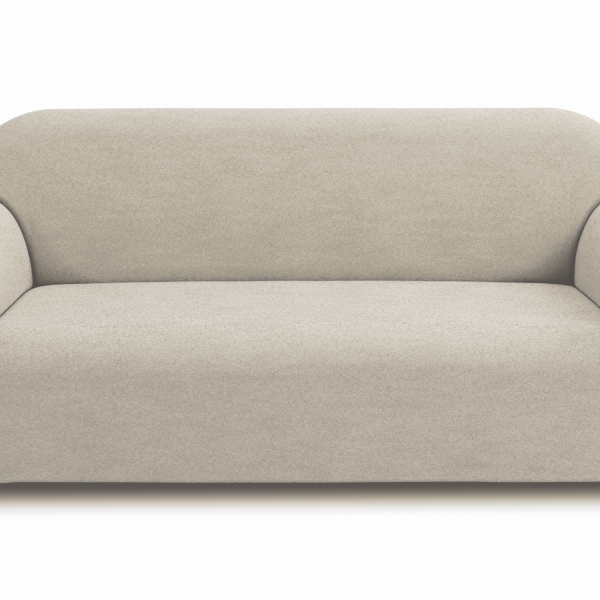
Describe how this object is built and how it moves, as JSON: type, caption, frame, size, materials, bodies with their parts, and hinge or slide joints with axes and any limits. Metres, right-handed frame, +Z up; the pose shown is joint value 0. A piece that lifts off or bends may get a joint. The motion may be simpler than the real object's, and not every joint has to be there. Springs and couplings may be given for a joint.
{
  "type": "sofa slipcover",
  "caption": "Stretch slipcover for a three-seat sofa, hollow, with a rounded back, round-topped arms, a bench seat and a straight hem.",
  "frame": {"origin": "in the middle of the cover's width and depth, level with the lowest point of its hem", "axes": "+X along the seat to the right-hand arm as seen from the front, +Y from the front to the back, +Z up"},
  "size_m": [2.183, 0.899, 0.8862],
  "materials": {
    "inside_back": "matt, fine two-tone melange knit",
    "outside_back": "matt, fine two-tone melange knit",
    "seat_front": "matt, fine two-tone melange knit",
    "arm_wrap_left": "matt, fine two-tone melange knit",
    "arm_wrap_right": "matt, fine two-tone melange knit",
    "arm_front_left": "matt, fine two-tone melange knit",
    "arm_front_right": "matt, fine two-tone melange knit"
  },
  "bodies": {
    "root": {"inside_back": "inside_back", "outside_back": "outside_back", "seat_front": "seat_front", "arm_wrap_left": "arm_wrap_left", "arm_wrap_right": "arm_wrap_right", "arm_front_left": "arm_front_left", "arm_front_right": "arm_front_right"}
  },
  "joints": []
}
